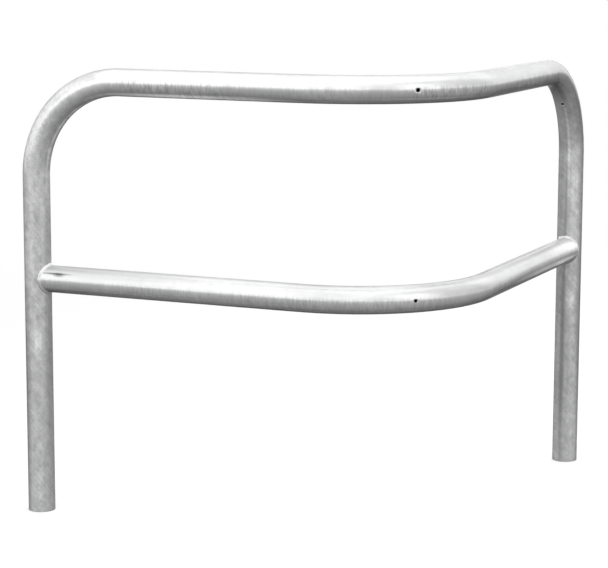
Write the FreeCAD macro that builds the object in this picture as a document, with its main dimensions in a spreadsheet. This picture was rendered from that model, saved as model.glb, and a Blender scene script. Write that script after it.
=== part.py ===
import FreeCAD, Part
import math
import os

import Sketcher

# Corner protection hoop, in millimetres, +Z up.
#
# A steel tube is bent three times: post, end bend, rail, corner bend, rail,
# end bend, post. A second tube with the same corner bend ties the two posts
# together at half height. Its ends are notched to the shape of the posts and
# welded all round.
#
# Every piece is drawn in one corner frame. Its origin lies on the ground,
# under the point where the centre lines of the two rails would cross if the
# corner were sharp. The left leg of the hoop runs along -X from there and the
# right leg along +Y. Each piece is then moved by the same amount, so that the
# hoop's bounding box is centred on the origin of the part.

# Driving dimensions

SIZES = {
    "tube_diameter": 60.3,
    "wall_thickness": 2.6,
    "overall_height": 1000.0,
    "left_reach": 1000.0,
    "right_reach": 1000.0,
    "end_bend_radius": 210.0,
    "corner_bend_radius": 300.0,
    "crossbar_height": 530.0,
    "crossbar_bend_radius": 300.0,
    "rail_vent_diameter": 9.0,
    "crossbar_vent_diameter": 8.0,
    "end_bend_vent_diameter": 8.0,
    "foot_edge_chamfer": 0.8,
    "notch_clearance": 0.3,
    "weld_bead_radius": 4.0,
}

document = FreeCAD.newDocument("CornerProtectionHoop")
sheet = document.addObject("Spreadsheet::Sheet", "Sizes")
for row, (size_name, size_value) in enumerate(SIZES.items(), start=1):
    sheet.set(f"A{row}", size_name)
    sheet.set(f"B{row}", str(size_value))
    sheet.setAlias(f"B{row}", size_name)
document.recompute()

# Lengths that follow from the driving dimensions, as expressions of the sheet

TUBE_RADIUS = "Sizes.tube_diameter / 2"
BORE_RADIUS = "(Sizes.tube_diameter / 2 - Sizes.wall_thickness)"
LEFT_LEG = "(Sizes.left_reach - Sizes.tube_diameter)"
RIGHT_LEG = "(Sizes.right_reach - Sizes.tube_diameter)"
RAIL_HEIGHT = "(Sizes.overall_height - Sizes.tube_diameter / 2)"
BEND_START = f"({RAIL_HEIGHT} - Sizes.end_bend_radius)"
# How far the middle of a right-angled bend stays short of its sharp corner
CORNER_CUT = "(sqrt(2) - 1)"
# A weld bead's section is a regular polygon whose sides lie at the bead's radius
BEAD_SIDES = 6
HALF_SIDE_ANGLE = 180 / BEAD_SIDES
BEAD_CORNER_RADIUS = f"Sizes.weld_bead_radius / cos({HALF_SIDE_ANGLE} deg)"

QUARTER_TURN = math.pi / 2
UP = FreeCAD.Vector(0, 0, 1)


def length_of(expression):
    """The present value of an expression of the sheet, in millimetres."""
    return float(sheet.evalExpression(expression.replace("Sizes.", "")))


def bind(feature, bindings):
    """Tie properties of a feature to expressions of the sheet."""
    for property_path, expression in bindings.items():
        feature.setExpression(property_path, expression)


def new_body(name):
    """An empty body that carries the move from the corner frame to the part's own frame."""
    body = document.addObject("PartDesign::Body", name)
    body.Label = name
    bind(body, {
        ".Placement.Base.x": f"{LEFT_LEG} / 2",
        ".Placement.Base.y": f"-{RIGHT_LEG} / 2",
    })
    return body


def new_sketch(body, name, plane_role, offset=None, turn=None):
    """A sketch on one of the body's own planes, moved by expressions and turned by a rotation."""
    sketch = body.newObject("Sketcher::SketchObject", name)
    plane = next(item for item in body.Origin.OriginFeatures if item.Role == plane_role)
    sketch.AttachmentSupport = [(plane, "")]
    sketch.MapMode = "FlatFace"
    if turn is not None:
        sketch.AttachmentOffset = FreeCAD.Placement(FreeCAD.Vector(), turn)
    for axis_name, expression in (offset or {}).items():
        sketch.setExpression(f".AttachmentOffset.Base.{axis_name}", expression)
    return sketch


def constrain(sketch, name, expression, kind, *references):
    """Add one named driving dimension to a sketch and tie it to the sheet."""
    index = sketch.addConstraint(Sketcher.Constraint(kind, *references, length_of(expression)))
    sketch.renameConstraint(index, name)
    sketch.setExpression(f"Constraints.{name}", expression)


def locate(sketch, geometry, point, across, along):
    """Dimension a point of a sketch from the sketch's origin, in its two directions."""
    for kind, name, expression in (("DistanceX", "across", across), ("DistanceY", "along", along)):
        if expression is None:
            on_axis = -2 if kind == "DistanceX" else -1
            sketch.addConstraint(Sketcher.Constraint("PointOnObject", geometry, point, on_axis))
        elif expression.startswith("-"):
            constrain(sketch, name, expression[1:], kind, geometry, point, -1, 1)
        else:
            constrain(sketch, name, expression, kind, -1, 1, geometry, point)


def draw_circles(sketch, radii, across=None, along=None):
    """Concentric circles, each with its own radius, round one located centre."""
    centre = FreeCAD.Vector(
        length_of(across) if across else 0,
        length_of(along) if along else 0,
        0,
    )
    for number, expression in enumerate(radii):
        circle = Part.Circle(centre, UP, length_of(expression))
        index = sketch.addGeometry(circle, False)
        if number == 0:
            locate(sketch, index, 3, across, along)
        else:
            sketch.addConstraint(Sketcher.Constraint("Coincident", index, 3, 0, 3))
        constrain(sketch, f"radius_{number}", expression, "Radius", index)


def ring_sketch(body, name, plane_role, offset=None, across=None, along=None):
    """The cross-section of the tube: its outside and its bore."""
    sketch = new_sketch(body, name, plane_role, offset)
    draw_circles(sketch, (TUBE_RADIUS, BORE_RADIUS), across, along)
    return sketch


def bend_arc(centre_x, centre_y, radius, start_angle):
    """A quarter circle, counter-clockwise from its start angle."""
    circle = Part.Circle(FreeCAD.Vector(centre_x, centre_y, 0), UP, radius)
    return Part.ArcOfCircle(circle, start_angle, start_angle + QUARTER_TURN)


def sweep_tube(body, name, ring, path, edge_count):
    """Sweep the tube's cross-section along a path drawn in a sketch."""
    pipe = body.newObject("PartDesign::AdditivePipe", name)
    pipe.Profile = (ring, [""])
    pipe.Spine = (path, [f"Edge{number}" for number in range(1, edge_count + 1)])
    return pipe


def drill(body, name, sketch, depth_expression, outward):
    """Drill from a sketch's plane to the tube's centre line, so through one wall only."""
    hole = body.newObject("PartDesign::Pocket", name)
    hole.Profile = (sketch, [""])
    hole.Type = "Length"
    hole.Reversed = outward
    hole.setExpression("Length", depth_expression)
    return hole


# Hoop tube

def end_frame_path(body, name, plane_role, leg, side):
    """Centre line of one post, its end bend and its straight rail, in an upright plane.

    side is -1 where the leg runs towards negative values of the sketch and +1 where it runs
    towards positive ones.
    """
    sketch = new_sketch(body, name, plane_role)
    post_x = side * length_of(leg)
    top_y = length_of(RAIL_HEIGHT)
    radius = length_of("Sizes.end_bend_radius")
    bend_y = length_of(BEND_START)
    rail_end_x = side * length_of("Sizes.corner_bend_radius")
    bend_x = post_x - side * radius
    post = Part.LineSegment(FreeCAD.Vector(post_x, 0, 0), FreeCAD.Vector(post_x, bend_y, 0))
    rail = Part.LineSegment(FreeCAD.Vector(bend_x, top_y, 0), FreeCAD.Vector(rail_end_x, top_y, 0))
    start_angle = QUARTER_TURN if side < 0 else 0
    sketch.addGeometry([post, bend_arc(bend_x, bend_y, radius, start_angle), rail], False)
    post_side_of_arc = 2 if side < 0 else 1
    rail_side_of_arc = 3 - post_side_of_arc
    sketch.addConstraint([
        Sketcher.Constraint("Vertical", 0),
        Sketcher.Constraint("Horizontal", 2),
        Sketcher.Constraint("Tangent", 0, 2, 1, post_side_of_arc),
        Sketcher.Constraint("Tangent", 1, rail_side_of_arc, 2, 1),
    ])
    constrain(sketch, "bend_radius", "Sizes.end_bend_radius", "Radius", 1)
    locate(sketch, 0, 1, f"-{leg}" if side < 0 else leg, None)
    constrain(sketch, "rail_height", RAIL_HEIGHT, "DistanceY", -1, 1, 2, 2)
    rail_end = (2, 2, -1, 1) if side < 0 else (-1, 1, 2, 2)
    constrain(sketch, "rail_end", "Sizes.corner_bend_radius", "DistanceX", *rail_end)
    return sketch


def rail_corner_path(body, name):
    """Centre line of the rail's corner bend: a level quarter circle that touches both legs."""
    sketch = new_sketch(body, name, "XY_Plane", {"z": RAIL_HEIGHT})
    radius = length_of("Sizes.corner_bend_radius")
    sketch.addGeometry(bend_arc(-radius, radius, radius, -QUARTER_TURN), False)
    sketch.addConstraint([
        Sketcher.Constraint("Vertical", 0, 1, 0, 3),
        Sketcher.Constraint("Horizontal", 0, 2, 0, 3),
    ])
    constrain(sketch, "bend_radius", "Sizes.corner_bend_radius", "Radius", 0)
    constrain(sketch, "centre_x", "Sizes.corner_bend_radius", "DistanceX", 0, 3, -1, 1)
    constrain(sketch, "centre_y", "Sizes.corner_bend_radius", "DistanceY", -1, 1, 0, 3)
    return sketch


def corner_vent(body, name, height_expression, radius_expression, diameter_name):
    """Vent hole on the outside of a corner bend, half way round it.

    The sketch stands upright through the sharp corner, square to the corner's bisector.
    """
    half_corner = FreeCAD.Rotation(FreeCAD.Vector(0, 1, 0), -45)
    sketch = new_sketch(body, f"{name}_sketch", "YZ_Plane", turn=half_corner)
    draw_circles(sketch, (f"Sizes.{diameter_name} / 2",), None, height_expression)
    return drill(body, name, sketch, f"{radius_expression} * {CORNER_CUT}", False)


def end_bend_vent(body, name, centre, turn):
    """Vent hole on the inside of an end bend, half way round it, drilled from the bend's centre."""
    sketch = new_sketch(body, f"{name}_sketch", "XY_Plane", centre, turn)
    draw_circles(sketch, ("Sizes.end_bend_vent_diameter / 2",))
    return drill(body, name, sketch, "Sizes.end_bend_radius", True)


def foot_edges(shape):
    """Names of the outer rims of the two feet."""
    outer_radius = length_of(TUBE_RADIUS)
    names = []
    for number, edge in enumerate(shape.Edges, start=1):
        on_ground = abs(edge.BoundBox.ZMax) < 1e-6
        if on_ground and abs(edge.Curve.Radius - outer_radius) < 1e-6:
            names.append(f"Edge{number}")
    return names


def make_hoop_tube():
    """One bent tube: post, end bend, rail, corner bend, rail, end bend, post."""
    body = new_body("hoop_tube")

    left_ring = ring_sketch(body, "left_foot_section", "XY_Plane", across=f"-{LEFT_LEG}")
    left_path = end_frame_path(body, "left_path", "XZ_Plane", LEFT_LEG, -1)
    sweep_tube(body, "left_frame", left_ring, left_path, 3)

    corner_ring = ring_sketch(
        body, "corner_section", "YZ_Plane", {"z": "-Sizes.corner_bend_radius"}, along=RAIL_HEIGHT
    )
    corner_path = rail_corner_path(body, "corner_path")
    sweep_tube(body, "corner_bend", corner_ring, corner_path, 1)

    right_ring = ring_sketch(body, "right_foot_section", "XY_Plane", along=RIGHT_LEG)
    right_path = end_frame_path(body, "right_path", "YZ_Plane", RIGHT_LEG, 1)
    sweep_tube(body, "right_frame", right_ring, right_path, 3)

    corner_vent(body, "rail_vent", RAIL_HEIGHT, "Sizes.corner_bend_radius", "rail_vent_diameter")
    end_bend_vent(
        body,
        "left_bend_vent",
        {"x": f"-({LEFT_LEG} - Sizes.end_bend_radius)", "z": BEND_START},
        FreeCAD.Rotation(FreeCAD.Vector(0, 1, 0), -45),
    )
    last_hole = end_bend_vent(
        body,
        "right_bend_vent",
        {"y": f"{RIGHT_LEG} - Sizes.end_bend_radius", "z": BEND_START},
        FreeCAD.Rotation(FreeCAD.Vector(1, 0, 0), -45),
    )
    document.recompute()

    foot_edge = body.newObject("PartDesign::Chamfer", "foot_edge")
    foot_edge.Base = (last_hole, foot_edges(last_hole.Shape))
    foot_edge.setExpression("Size", "min(Sizes.foot_edge_chamfer; Sizes.wall_thickness / 2)")
    return body


# Crossbar

def make_crossbar():
    """Level tube with the hoop's corner on plan, notched to seat on both posts."""
    body = new_body("crossbar")

    ring = ring_sketch(
        body, "section", "YZ_Plane", {"z": f"-{LEFT_LEG}"}, along="Sizes.crossbar_height"
    )
    path = new_sketch(body, "path", "XY_Plane", {"z": "Sizes.crossbar_height"})
    radius = length_of("Sizes.crossbar_bend_radius")
    left_x = -length_of(LEFT_LEG)
    right_y = length_of(RIGHT_LEG)
    left_run = Part.LineSegment(FreeCAD.Vector(left_x, 0, 0), FreeCAD.Vector(-radius, 0, 0))
    right_run = Part.LineSegment(FreeCAD.Vector(0, radius, 0), FreeCAD.Vector(0, right_y, 0))
    corner = bend_arc(-radius, radius, radius, -QUARTER_TURN)
    path.addGeometry([left_run, corner, right_run], False)
    path.addConstraint([
        Sketcher.Constraint("Horizontal", 0),
        Sketcher.Constraint("Vertical", 2),
        Sketcher.Constraint("Tangent", 0, 2, 1, 1),
        Sketcher.Constraint("Tangent", 1, 2, 2, 1),
    ])
    constrain(path, "bend_radius", "Sizes.crossbar_bend_radius", "Radius", 1)
    locate(path, 0, 1, f"-{LEFT_LEG}", None)
    path.addConstraint(Sketcher.Constraint("PointOnObject", 2, 2, -2))
    constrain(path, "right_end", RIGHT_LEG, "DistanceY", -1, 1, 2, 2)
    sweep_tube(body, "bent_tube", ring, path, 3)

    notch_radius = f"{TUBE_RADIUS} + Sizes.notch_clearance"
    for side, across, along in (("left", f"-{LEFT_LEG}", None), ("right", None, RIGHT_LEG)):
        notch_sketch = new_sketch(body, f"{side}_notch_sketch", "XY_Plane")
        draw_circles(notch_sketch, (notch_radius,), across, along)
        notch = body.newObject("PartDesign::Pocket", f"{side}_notch")
        notch.Profile = (notch_sketch, [""])
        notch.Type = "ThroughAll"
        notch.Reversed = True

    corner_vent(
        body,
        "vent",
        "Sizes.crossbar_height",
        "Sizes.crossbar_bend_radius",
        "crossbar_vent_diameter",
    )
    return body


# Weld beads

def make_weld(name, joint_x, joint_y, turn_degrees):
    """Bead round one end of the crossbar.

    It is drawn about the joint: the post stands on Z and the crossbar leaves along +X. Two
    tubes of equal diameter meet in two half ellipses, one in each plane at 45 degrees to the
    post. The bead is a cord of weld metal laid along them, with a round lump where they meet
    at the crossbar's flanks, less the post and the crossbar that it lies on. The cord's
    section has one corner square to the seam, as the crest of the bead.
    """
    cord_runs = []
    for side, tilt in (("upper", -45), ("lower", 45)):
        seam = document.addObject("Part::Ellipse", f"{name}_{side}_seam")
        bind(seam, {"MajorRadius": f"{TUBE_RADIUS} * sqrt(2)", "MinorRadius": TUBE_RADIUS})
        seam.Angle1 = 270
        seam.Angle2 = 90
        tilt_turn = FreeCAD.Rotation(FreeCAD.Vector(0, 1, 0), tilt)
        seam.Placement = FreeCAD.Placement(FreeCAD.Vector(), tilt_turn)

        section = document.addObject("Part::RegularPolygon", f"{name}_{side}_section")
        section.Polygon = BEAD_SIDES
        section.setExpression("Circumradius", BEAD_CORNER_RADIUS)
        across_seam = tilt_turn.multiply(FreeCAD.Rotation(FreeCAD.Vector(0, 1, 0), 90))
        crest_out = across_seam.multiply(FreeCAD.Rotation(UP, HALF_SIDE_ANGLE))
        section.Placement = FreeCAD.Placement(FreeCAD.Vector(), crest_out)
        section.setExpression(".Placement.Base.y", f"-{TUBE_RADIUS}")

        run = document.addObject("Part::Sweep", f"{name}_{side}_run")
        run.Sections = [section]
        run.Spine = (seam, ["Edge1"])
        run.Solid = True
        run.Frenet = False
        cord_runs.append(run)

    for side, sign in (("outer", "-"), ("inner", "")):
        lump = document.addObject("Part::Sphere", f"{name}_{side}_lump")
        lump.setExpression("Radius", "Sizes.weld_bead_radius")
        lump.setExpression(".Placement.Base.y", f"{sign}{TUBE_RADIUS}")
        cord_runs.append(lump)

    cord = document.addObject("Part::MultiFuse", f"{name}_cord")
    cord.Shapes = cord_runs

    post = document.addObject("Part::Cylinder", f"{name}_post")
    bind(post, {
        "Radius": TUBE_RADIUS,
        "Height": "4 * Sizes.tube_diameter",
        ".Placement.Base.z": "-2 * Sizes.tube_diameter",
    })
    bar = document.addObject("Part::Cylinder", f"{name}_bar")
    bar.Placement = FreeCAD.Placement(FreeCAD.Vector(), FreeCAD.Rotation(FreeCAD.Vector(0, 1, 0), 90))
    bind(bar, {"Radius": TUBE_RADIUS, "Height": "2 * Sizes.tube_diameter"})
    tubes = document.addObject("Part::Fuse", f"{name}_tubes")
    tubes.Base = post
    tubes.Tool = bar

    weld = document.addObject("Part::Cut", name)
    weld.Label = name
    weld.Base = cord
    weld.Tool = tubes
    weld.Placement = FreeCAD.Placement(
        FreeCAD.Vector(), FreeCAD.Rotation(FreeCAD.Vector(0, 0, 1), turn_degrees)
    )
    bind(weld, {
        ".Placement.Base.x": joint_x,
        ".Placement.Base.y": joint_y,
        ".Placement.Base.z": "Sizes.crossbar_height",
    })
    return weld


pieces = [
    make_hoop_tube(),
    make_crossbar(),
    make_weld("left_weld", f"-{LEFT_LEG} / 2", f"-{RIGHT_LEG} / 2", 0),
    make_weld("right_weld", f"{LEFT_LEG} / 2", f"{RIGHT_LEG} / 2", -90),
]
document.recompute()

# Check every feature, then write each piece

for item in document.Objects:
    if "Invalid" in item.State or "Error" in item.State:
        raise RuntimeError(f"{item.Label} failed: {item.State}")
for piece in pieces:
    if piece.Shape.isNull() or not piece.Shape.isValid():
        raise RuntimeError(f"{piece.Label} has no valid shape")

os.makedirs("parts", exist_ok=True)
for piece in pieces:
    piece.Shape.exportStep(f"parts/{piece.Label}.step")
    box = piece.Shape.optimalBoundingBox()
    print(
        f"{piece.Label}: {len(piece.Shape.Solids)} solid, {piece.Shape.Volume / 1000:.1f} cm3,",
        f"X {box.XMin:.1f} to {box.XMax:.1f}, Y {box.YMin:.1f} to {box.YMax:.1f},",
        f"Z {box.ZMin:.1f} to {box.ZMax:.1f}",
    )
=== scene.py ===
# %% [markdown]
# A corner protection hoop in hot-dip galvanised tube
#
# The hoop guards the corner of a wall or a cabinet. One steel tube is bent three times, so that
# it stands up, runs along one side, turns the corner and goes down again. A second tube, the
# crossbar, ties the two posts together and is welded to them. All of it has been dipped in
# molten zinc.
#
# The CAD model comes first and is the measure of everything. Each visible piece below is built
# as a mesh of its own, in the same frame and to the same sizes, because a mesh can carry what the
# CAD can't: where each point lies along the tube, the ripples of a weld, the marks of the bender.

import math

import bmesh
import bpy
from mathutils import Matrix, Quaternion, Vector, noise


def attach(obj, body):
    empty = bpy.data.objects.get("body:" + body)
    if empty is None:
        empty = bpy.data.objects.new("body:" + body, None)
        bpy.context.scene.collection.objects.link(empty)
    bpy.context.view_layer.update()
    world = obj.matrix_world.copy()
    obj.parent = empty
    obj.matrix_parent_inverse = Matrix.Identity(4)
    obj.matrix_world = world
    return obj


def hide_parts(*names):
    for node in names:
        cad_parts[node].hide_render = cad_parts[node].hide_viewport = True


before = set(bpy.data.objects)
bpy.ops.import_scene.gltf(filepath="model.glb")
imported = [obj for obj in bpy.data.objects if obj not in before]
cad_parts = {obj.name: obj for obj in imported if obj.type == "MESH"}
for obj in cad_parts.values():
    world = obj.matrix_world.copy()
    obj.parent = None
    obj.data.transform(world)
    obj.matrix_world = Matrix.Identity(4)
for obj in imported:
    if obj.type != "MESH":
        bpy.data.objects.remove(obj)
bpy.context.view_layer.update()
scene = bpy.context.scene
print("CAD nodes:", ", ".join(sorted(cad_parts)))

# %% [markdown]
# Sizes
#
# Metres, with +Z up and the ground at zero. The tube's centre lines run 30.15 mm inside the
# outer box, because half of the 60.3 mm tube stands proud of them. These are the same driving
# sizes as in the CAD source. They could be read from the CAD's boxes instead, but a bend radius
# doesn't show in a box, so they are written once here and the rest is worked out from them.

# %% Driving sizes
MM = 0.001
OVERALL_HEIGHT = 1.0
OVERALL_REACH = 1.0
TUBE_RADIUS = 30.15 * MM
WALL = 2.6 * MM
BORE_RADIUS = TUBE_RADIUS - WALL
HALF_LEG = OVERALL_REACH / 2 - TUBE_RADIUS
RAIL_HEIGHT = OVERALL_HEIGHT - TUBE_RADIUS
CROSSBAR_HEIGHT = 0.53
END_BEND = 0.21
CORNER_BEND = 0.3
LEFT_POST = Vector((-HALF_LEG, -HALF_LEG, 0))
RIGHT_POST = Vector((HALF_LEG, HALF_LEG, 0))
print("posts stand at", tuple(LEFT_POST), "and", tuple(RIGHT_POST))

# %% [markdown]
# A tube as the bender makes it
#
# A tube bender doesn't think in curves. The machine is told to feed so much straight tube, then
# to bend through so many degrees at a radius, then to feed again. The mesh is made the same way:
# a carriage walks along the tube, keeps its own three directions (ahead, side and up), and drops
# a ring of points every few millimetres. Because the carriage is turned only by the bends, the
# rings never twist, and each one knows how far along the tube it lies.
#
# A curve object with a round bevel would be quicker, but its rings can't be shaped one by one,
# and here the ends, the notches and the bender's marks all need that.

# %% Walk along a tube
RING_STEP = 5 * MM
BEND_STEP = math.radians(1.5)


def station_at(distance, point, ahead, side):
    """Where a ring is dropped: the distance along the tube, the point, ahead, side and up."""
    return distance, point, ahead, side, ahead.cross(side)


def walk(start, ahead, side, runs):
    """The stations along a tube's centre line, from its start through every feed and bend."""
    point, ahead, side = Vector(start), Vector(ahead), Vector(side)
    distance = 0.0
    stations = [station_at(distance, point, ahead, side)]
    for kind, amount, *how in runs:
        if kind == "feed":
            count = max(1, round(amount / RING_STEP))
            for _ in range(count):
                point = point + ahead * (amount / count)
                distance += amount / count
                stations.append(station_at(distance, point, ahead, side))
        else:
            radius, towards = how[0], Vector(how[1])
            centre = point + towards * radius
            axis = ahead.cross(towards)
            count = round(amount / BEND_STEP)
            for _ in range(count):
                turn = Matrix.Rotation(amount / count, 3, axis)
                point = centre + turn @ (point - centre)
                ahead, side = turn @ ahead, turn @ side
                distance += radius * amount / count
                stations.append(station_at(distance, point, ahead, side))
    return stations


# %% [markdown]
# The runs of the two tubes
#
# The hoop tube starts at the left foot: up the post, over the end bend, along the rail, round the
# corner, along the other rail and down again. The crossbar starts at the left post's axis and
# takes the same corner. Written as feeds and bends, each tube is a list that a bender could work
# from, and a change of one driving size moves every ring with it.

# %% Feeds and bends
QUARTER = math.pi / 2
ALONG_X = Vector((1, 0, 0))
ALONG_Y = Vector((0, 1, 0))
UP = Vector((0, 0, 1))
DOWN = Vector((0, 0, -1))
POST_FEED = RAIL_HEIGHT - END_BEND
RAIL_FEED = 2 * HALF_LEG - END_BEND - CORNER_BEND
hoop_runs = [
    ("feed", POST_FEED),
    ("bend", QUARTER, END_BEND, ALONG_X),
    ("feed", RAIL_FEED),
    ("bend", QUARTER, CORNER_BEND, ALONG_Y),
    ("feed", RAIL_FEED),
    ("bend", QUARTER, END_BEND, DOWN),
    ("feed", POST_FEED),
]
hoop_line = walk(LEFT_POST, UP, ALONG_Y, hoop_runs)
HOOP_LENGTH = hoop_line[-1][0]

left_joint = LEFT_POST + UP * CROSSBAR_HEIGHT
right_joint = RIGHT_POST + UP * CROSSBAR_HEIGHT
CROSSBAR_FEED = 2 * HALF_LEG - CORNER_BEND
crossbar_runs = [
    ("feed", CROSSBAR_FEED),
    ("bend", QUARTER, CORNER_BEND, ALONG_Y),
    ("feed", CROSSBAR_FEED),
]
crossbar_line = walk(left_joint, ALONG_X, ALONG_Y, crossbar_runs)
CROSSBAR_LENGTH = crossbar_line[-1][0]
print(f"hoop tube {HOOP_LENGTH / MM:.0f} mm long, {len(hoop_line)} rings;",
      f"crossbar {CROSSBAR_LENGTH / MM:.0f} mm, {len(crossbar_line)} rings")
print("the hoop's walk ends at", tuple(round(v, 4) for v in hoop_line[-1][1]))

# %% [markdown]
# What the zinc and the bender leave on the surface
#
# A galvanised tube is never perfectly round. The coat is a little thicker here than there, the
# bender's die leaves a faint ring where each bend starts and ends, and between those rings the
# bend wrinkles by a hair. A bump in the material could fake them, but a long reflection shows
# such shapes at once, and only real ones are still there in another program. They go into the
# mesh, and they only ever take material away from the nominal 60.3 mm, so the tube keeps its size.

# %% Where the bends start and end
def tangent_distances(runs):
    """How far along a tube its bends start and end."""
    marks, distance = [], 0.0
    for kind, amount, *how in runs:
        length = amount if kind == "feed" else amount * how[0]
        if kind == "bend":
            marks += [distance, distance + length]
        distance += length
    return marks


hoop_marks = tangent_distances(hoop_runs)
crossbar_marks = tangent_distances(crossbar_runs)
print("bends of the hoop start and end at", [round(m, 3) for m in hoop_marks])

# %% Shape of the coated surface
COAT_WAVE = 0.16 * MM
COAT_WAVES_PER_METRE = 16
COAT_WAVES_ROUND = 0.9
DIE_MARK_DEPTH = 0.22 * MM
DIE_MARK_WIDTH = 2.2 * MM
DIE_MARK_REACH = 3
DIE_MARK_UNEVEN = 0.4
DIE_PATCHES_ROUND = 2
WRINKLE_DEPTH = 0.12 * MM
WRINKLE_PITCH = 11 * MM
WRINKLE_FADE = 50 * MM
WRINKLE_PATCHES = 1.7
HOOP_SEED = 0.0


def smooth_noise(spot):
    """The noise at a point, which lies between -1 and 1, brought to 0 to 1."""
    return 0.5 + 0.5 * noise.noise(spot)


def die_mark(distance, angle, mark):
    """Depth of the patchy ring that the die leaves at one end of a bend."""
    off = (distance - mark) / DIE_MARK_WIDTH
    if abs(off) >= DIE_MARK_REACH:
        return 0.0
    spot = Vector((math.cos(angle) * DIE_PATCHES_ROUND, math.sin(angle) * DIE_PATCHES_ROUND, mark))
    patchy = 1 - DIE_MARK_UNEVEN + DIE_MARK_UNEVEN * noise.noise(spot)
    return DIE_MARK_DEPTH * patchy * math.exp(-off * off)


def wrinkle(distance, start, end, spot):
    """Depth of a bend's wrinkles, which fade out towards both of its ends."""
    fade = min(1.0, (distance - start) / WRINKLE_FADE, (end - distance) / WRINKLE_FADE)
    wave = 0.5 + 0.5 * math.sin(distance / WRINKLE_PITCH * 2 * math.pi)
    return WRINKLE_DEPTH * fade * wave * smooth_noise(spot * WRINKLE_PATCHES)


def surface_dip(distance, angle, marks, seed):
    """How far the surface lies inside its nominal radius, in metres."""
    side, up = math.cos(angle) * COAT_WAVES_ROUND, math.sin(angle) * COAT_WAVES_ROUND
    spot = Vector((distance * COAT_WAVES_PER_METRE, side, up + seed))
    dip = COAT_WAVE * smooth_noise(spot)
    for start, end in zip(marks[::2], marks[1::2]):
        for mark in (start, end):
            dip += die_mark(distance, angle, mark)
        if start < distance < end:
            dip += wrinkle(distance, start, end, spot)
    return dip


deepest = max(surface_dip(station[0], 0, hoop_marks, HOOP_SEED) for station in hoop_line)
print("along one side of the hoop the surface dips by up to", round(deepest / MM, 2), "mm")

# %% [markdown]
# From rings to a tube with a wall
#
# A real tube has a wall, so the mesh has two skins of rings, the outside and the bore, which meet
# in the cut face at each end. A single skin with a Solidify modifier would give the wall too, but
# not the shape of its ends.
#
# Besides its place, every vertex keeps its place on the straight tube before bending, in an
# attribute called `straight`: the distance along, and the two coordinates across. The zinc
# material reads it, so that streaks follow the tube round each bend. A second attribute,
# `underside`, says how far the surface faces the ground there, and a third, `lying`, whether the
# tube lies flat (1) or stands upright (0), because zinc drains off the two in different ways.

# %% Rings with attributes
AROUND = 80


def tube_layers(mesh):
    """The three attributes that every tube carries."""
    layers = mesh.verts.layers
    return layers.float_vector.new("straight"), layers.float.new("underside"), layers.float.new("lying")


def add_ring(mesh, layers, station, radius_at, distance_at):
    """One ring of vertices. radius_at and distance_at give each vertex its radius and distance."""
    straight, underside, lying = layers
    distance, point, ahead, side, up = station
    ring = []
    for index in range(AROUND):
        angle = 2 * math.pi * index / AROUND
        radius, place = radius_at(angle), distance_at(angle)
        across = side * math.cos(angle) + up * math.sin(angle)
        vertex = mesh.verts.new(point + ahead * (place - distance) + across * radius)
        vertex[straight] = Vector((place, math.cos(angle) * radius, math.sin(angle) * radius))
        # underside also sets the painted light and shade in the zinc's colour: paler facing up, darker
        # facing down.
        vertex[underside] = -across.z
        vertex[lying] = 1.0 - abs(ahead.z)
        ring.append(vertex)
    return ring


print("each ring has", AROUND, "points, about",
      round(2 * math.pi * TUBE_RADIUS / AROUND / MM, 1), "mm apart")


# %% From rings to a piece
def join_rings(mesh, rings, smooth=True):
    """Quads between each ring and the next."""
    for ring, following in zip(rings, rings[1:]):
        for index in range(len(ring)):
            beside = (index + 1) % len(ring)
            quad = (ring[index], ring[beside], following[beside], following[index])
            mesh.faces.new(quad).smooth = smooth


def new_piece(name, mesh):
    """A mesh object in the part's frame, from a bmesh whose faces are turned outwards."""
    bmesh.ops.recalc_face_normals(mesh, faces=mesh.faces)
    data = bpy.data.meshes.new(name)
    mesh.to_mesh(data)
    mesh.free()
    piece = bpy.data.objects.new(name, data)
    scene.collection.objects.link(piece)
    return piece


# %% [markdown]
# Hoop tube
#
# The longest piece: post, end bend, rail, corner bend, rail, end bend, post, with open feet. Each
# foot was sawn off and its sharp edge broken with a file. A Bevel modifier would round that edge
# evenly. A file doesn't, so a few close rings turn the corner one by one, with small nicks round
# the edge. The bore gets only every fourth ring, because nothing of it shows but its ends.

# %% A filed foot
FOOT_EDGE = 0.8 * MM
FOOT_PROFILE = [(0.0, 1.0), (0.12, 0.55), (0.4, 0.2), (1.0, 0.0)]
FOOT_NICKS_ROUND = 2.3
FOOT_UNEVEN = 0.35
BORE_EDGE = 0.3 * MM


def filed_radius(angle, cut, distance):
    """Outer radius near a foot, where the file took away the share cut of the whole edge."""
    spot = Vector((math.cos(angle) * FOOT_NICKS_ROUND, math.sin(angle) * FOOT_NICKS_ROUND, distance))
    return TUBE_RADIUS - FOOT_EDGE * cut * (1.0 + FOOT_UNEVEN * noise.noise(spot)) - COAT_WAVE / 2


def foot_rings(mesh, layers, station, inwards):
    """Rings that turn the foot's corner, from the bore's edge out to the full radius."""
    distance = station[0]
    rings = [
        add_ring(mesh, layers, station, lambda a: BORE_RADIUS, lambda a: distance + inwards * BORE_EDGE),
        add_ring(mesh, layers, station, lambda a: BORE_RADIUS + BORE_EDGE, lambda a: distance),
    ]
    for rise, cut in FOOT_PROFILE:
        rings.append(add_ring(
            mesh, layers, station,
            lambda a: filed_radius(a, cut, distance),
            lambda a: distance + inwards * FOOT_EDGE * rise,
        ))
    return rings


print("a file takes about", round(FOOT_EDGE / MM, 1), "mm off a foot's edge, in", len(FOOT_PROFILE), "rings")

# %% Hoop tube
BORE_SKIP = 4


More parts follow.
